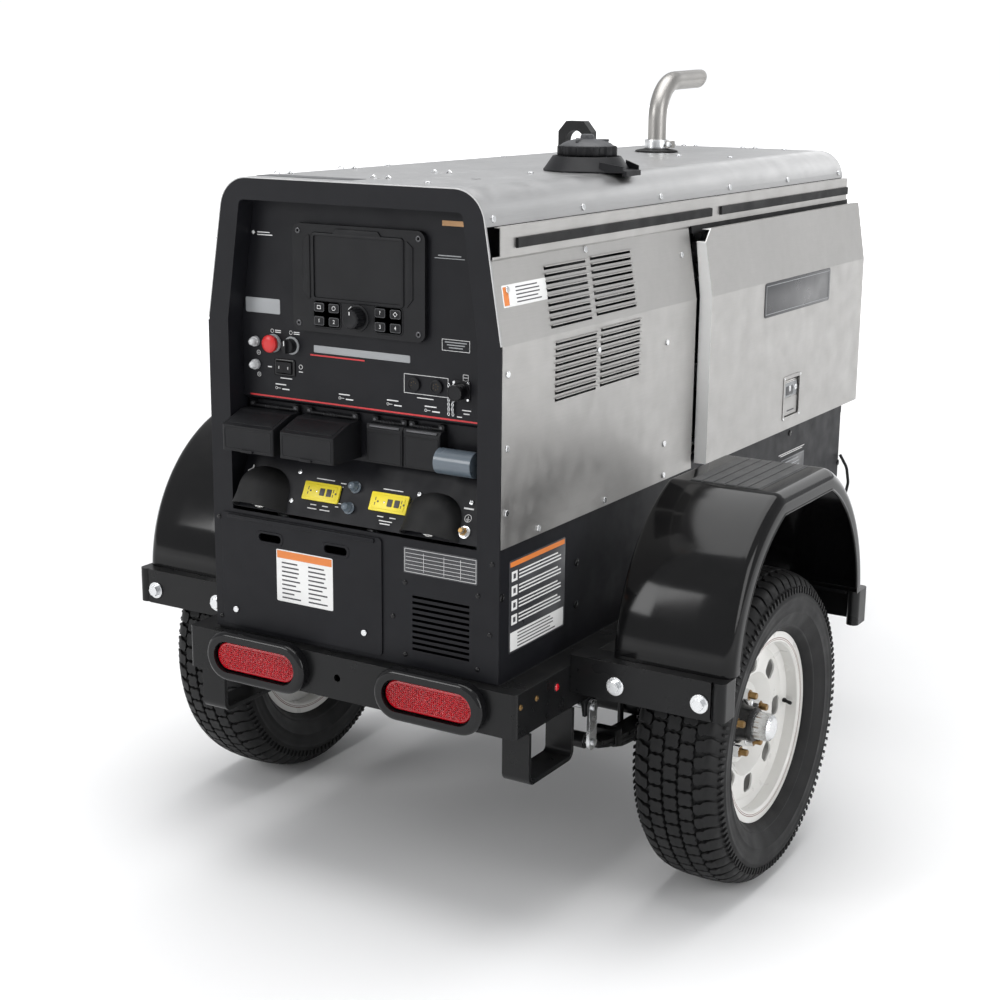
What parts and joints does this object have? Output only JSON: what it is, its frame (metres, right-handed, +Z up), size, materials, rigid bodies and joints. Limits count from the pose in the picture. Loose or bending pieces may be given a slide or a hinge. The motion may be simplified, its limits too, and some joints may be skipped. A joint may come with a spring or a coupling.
{
  "type": "engine-driven stick welder on road trailer",
  "caption": "Engine-driven stick welder and generator in a stainless enclosure on a two-wheel road trailer with fenders, tail lamps, jack and ball coupler.",
  "frame": {"origin": "on the ground, on the centreline, midway along the trailer from tail lamps to coupler tip", "axes": "+Z up, +Y toward the coupler, +X to the side with the fuel cap; the control face looks along -Y"},
  "size_m": [1.314, 2.36, 1.5079],
  "materials": {
    "black_enamel": "satin black baked enamel",
    "gloss_black": "gloss black",
    "coupler_paint": "satin black",
    "drawer_paint": "satin black baked enamel",
    "zinc": "zinc plated",
    "stainless": "brushed stainless sheet",
    "lamp_rubber": "matt moulded rubber",
    "red_lens": "moulded red lens",
    "tyre_rubber": "tyre rubber",
    "white_enamel": "white enamel",
    "hub_steel": "painted hub with plated cap",
    "black_plastic": "moulded black",
    "red_plastic": "moulded red",
    "yellow_plastic": "moulded yellow",
    "fitting_metal": "plated brass fittings",
    "tank_plastic": "rotomoulded",
    "engine_iron": "painted cast iron",
    "machine_steel": "primed steel",
    "cast_alloy": "cast and folded aluminium"
  },
  "bodies": {
    "chassis": {"base_frame": "black_enamel", "control_panel": "black_enamel", "coupler": "coupler_paint", "display_module": "black_plastic", "engine": "engine_iron", "exhaust_system": "zinc", "fender_brackets": "black_enamel", "fenders": "gloss_black", "front_frame": "black_enamel", "fuel_filler": "black_plastic", "fuel_tank": "tank_plastic", "generator": "machine_steel", "hinge_rails": "lamp_rubber", "hood": "stainless", "inverter_module": "cast_alloy", "leaf_springs": "gloss_black", "lifting_bail": "black_enamel", "light_housings": "lamp_rubber", "light_lenses": "red_lens", "outlets": "yellow_plastic", "panel_fittings": "fitting_metal", "radiator": "cast_alloy", "rear_panel": "black_enamel", "safety_chains": "zinc", "screws": "zinc", "side_panels": "stainless", "spring_shackles": "black_enamel", "stud_covers": "lamp_rubber", "trailer_cable": "lamp_rubber", "trailer_frame": "black_enamel"},
    "axle": {"axle_beam": "black_enamel"},
    "wheel_left": {"tyre_left": "tyre_rubber", "rim_left": "white_enamel", "hub_left": "hub_steel"},
    "wheel_right": {"tyre_right": "tyre_rubber", "rim_right": "white_enamel", "hub_right": "hub_steel"},
    "door_left": {"door_left": "stainless"},
    "door_right": {"door_right": "stainless"},
    "latch_left": {"latch_left": "stainless"},
    "latch_right": {"latch_right": "stainless"},
    "drawer": {"battery_drawer": "drawer_paint", "battery": "black_plastic"},
    "fuel_cap": {"fuel_cap": "black_plastic"},
    "rotor": {"rotor_and_fan": "machine_steel"},
    "display_knob": {"display_knob": "black_plastic"},
    "keypad": {"keypad": "black_plastic"},
    "stop_button": {"stop_button": "red_plastic"},
    "start_switch": {"start_switch": "black_plastic"},
    "rocker_switch": {"rocker_switch": "black_plastic"},
    "outlet_cover_1": {"outlet_cover_1": "black_plastic"},
    "outlet_cover_2": {"outlet_cover_2": "black_plastic"},
    "outlet_cover_3": {"outlet_cover_3": "black_plastic"},
    "outlet_cover_4": {"outlet_cover_4": "black_plastic"},
    "breaker_upper": {"breaker_upper": "black_plastic"},
    "breaker_lower": {"breaker_lower": "black_plastic"},
    "jack_tube": {"jack_body": "black_enamel"},
    "jack_leg": {"jack_leg": "zinc"},
    "jack_crank": {"jack_handle": "zinc"},
    "coupler_latch": {"coupler_latch": "zinc"}
  },
  "joints": [
    {"name": "axle_travel", "type": "slide", "parent": "chassis", "child": "axle", "axis": [0, 0, 1], "range_m": [-0.03, 0.045], "stiffness_N_per_m": 160000, "springref_m": -0.0263, "deforming": ["leaf_springs"]},
    {"name": "wheel_left_spin", "type": "hinge", "parent": "axle", "child": "wheel_left", "pos_m": [-0.538, -0.6214, 0.303], "axis": [1, 0, 0], "continuous": true},
    {"name": "wheel_right_spin", "type": "hinge", "parent": "axle", "child": "wheel_right", "pos_m": [0.538, -0.6214, 0.303], "axis": [1, 0, 0], "continuous": true},
    {"name": "door_left_swing", "type": "hinge", "parent": "chassis", "child": "door_left", "pos_m": [-0.3, 0.052, 1.209], "axis": [0, 1, 0], "range_deg": [0, 85]},
    {"name": "door_right_swing", "type": "hinge", "parent": "chassis", "child": "door_right", "pos_m": [0.3, 0.052, 1.209], "axis": [0, -1, 0], "range_deg": [0, 85]},
    {"name": "latch_left_pull", "type": "hinge", "parent": "door_left", "child": "latch_left", "pos_m": [-0.331, 0.065, 0.842], "axis": [0, 1, 0], "range_deg": [0, 40]},
    {"name": "latch_right_pull", "type": "hinge", "parent": "door_right", "child": "latch_right", "pos_m": [0.331, 0.065, 0.842], "axis": [0, -1, 0], "range_deg": [0, 40]},
    {"name": "drawer_slide", "type": "slide", "parent": "chassis", "child": "drawer", "axis": [0, -1, 0], "range_m": [0, 0.35]},
    {"name": "fuel_cap_twist", "type": "hinge", "parent": "chassis", "child": "fuel_cap", "pos_m": [0.165, -0.59, 1.353], "axis": [0, 0, 1], "range_deg": [0, 90]},
    {"name": "rotor_spin", "type": "hinge", "parent": "chassis", "child": "rotor", "pos_m": [0, -0.535, 0.74], "axis": [0, 1, 0], "continuous": true},
    {"name": "display_knob_turn", "type": "hinge", "parent": "chassis", "child": "display_knob", "pos_m": [0, -1.115, 1.09], "axis": [0, 1, 0], "continuous": true},
    {"name": "keypad_press", "type": "slide", "parent": "chassis", "child": "keypad", "axis": [0, 1, 0], "range_m": [0, 0.0018], "stiffness_N_per_m": 2000, "springref_m": -0.0005},
    {"name": "stop_button_press", "type": "slide", "parent": "chassis", "child": "stop_button", "axis": [0, 1, 0], "range_m": [0, 0.005], "stiffness_N_per_m": 1500, "springref_m": -0.001},
    {"name": "start_switch_turn", "type": "hinge", "parent": "chassis", "child": "start_switch", "pos_m": [-0.152, -1.11, 1.027], "axis": [0, 1, 0], "range_deg": [0, 60]},
    {"name": "rocker_tilt", "type": "hinge", "parent": "chassis", "child": "rocker_switch", "pos_m": [-0.168, -1.094, 0.986], "axis": [0, 0, 1], "range_deg": [-8, 8]},
    {"name": "cover_1_lift", "type": "hinge", "parent": "chassis", "child": "outlet_cover_1", "pos_m": [-0.2025, -1.085, 0.905], "axis": [-1, 0, 0], "range_deg": [0, 60]},
    {"name": "cover_2_lift", "type": "hinge", "parent": "chassis", "child": "outlet_cover_2", "pos_m": [-0.0715, -1.085, 0.905], "axis": [-1, 0, 0], "range_deg": [0, 60]},
    {"name": "cover_3_lift", "type": "hinge", "parent": "chassis", "child": "outlet_cover_3", "pos_m": [0.053, -1.085, 0.905], "axis": [-1, 0, 0], "range_deg": [0, 60]},
    {"name": "cover_4_lift", "type": "hinge", "parent": "chassis", "child": "outlet_cover_4", "pos_m": [0.131, -1.085, 0.905], "axis": [-1, 0, 0], "range_deg": [0, 60]},
    {"name": "breaker_upper_trip", "type": "slide", "parent": "chassis", "child": "breaker_upper", "axis": [0, -0.896, 0.444], "range_m": [0, 0.005]},
    {"name": "breaker_lower_trip", "type": "slide", "parent": "chassis", "child": "breaker_lower", "axis": [0, -0.896, 0.444], "range_m": [0, 0.005]},
    {"name": "jack_swivel", "type": "hinge", "parent": "chassis", "child": "jack_tube", "pos_m": [-0.098, 0.875, 0.444], "axis": [1, 0, 0], "range_deg": [0, 90]},
    {"name": "jack_leg_slide", "type": "slide", "parent": "jack_tube", "child": "jack_leg", "axis": [0, 0, 1], "range_m": [0, 0.25]},
    {"name": "jack_crank_turn", "type": "hinge", "parent": "jack_tube", "child": "jack_crank", "pos_m": [-0.098, 0.875, 0.75], "axis": [0, 0, 1], "range_deg": [0, 14400]},
    {"name": "coupler_latch_lift", "type": "hinge", "parent": "chassis", "child": "coupler_latch", "pos_m": [0, 1.09, 0.488], "axis": [-1, 0, 0], "range_deg": [0, 70]}
  ],
  "couplings": [
    {"joint": "jack_leg_slide", "follows": "jack_crank_turn", "m_per_rad": 0.00099472}
  ]
}
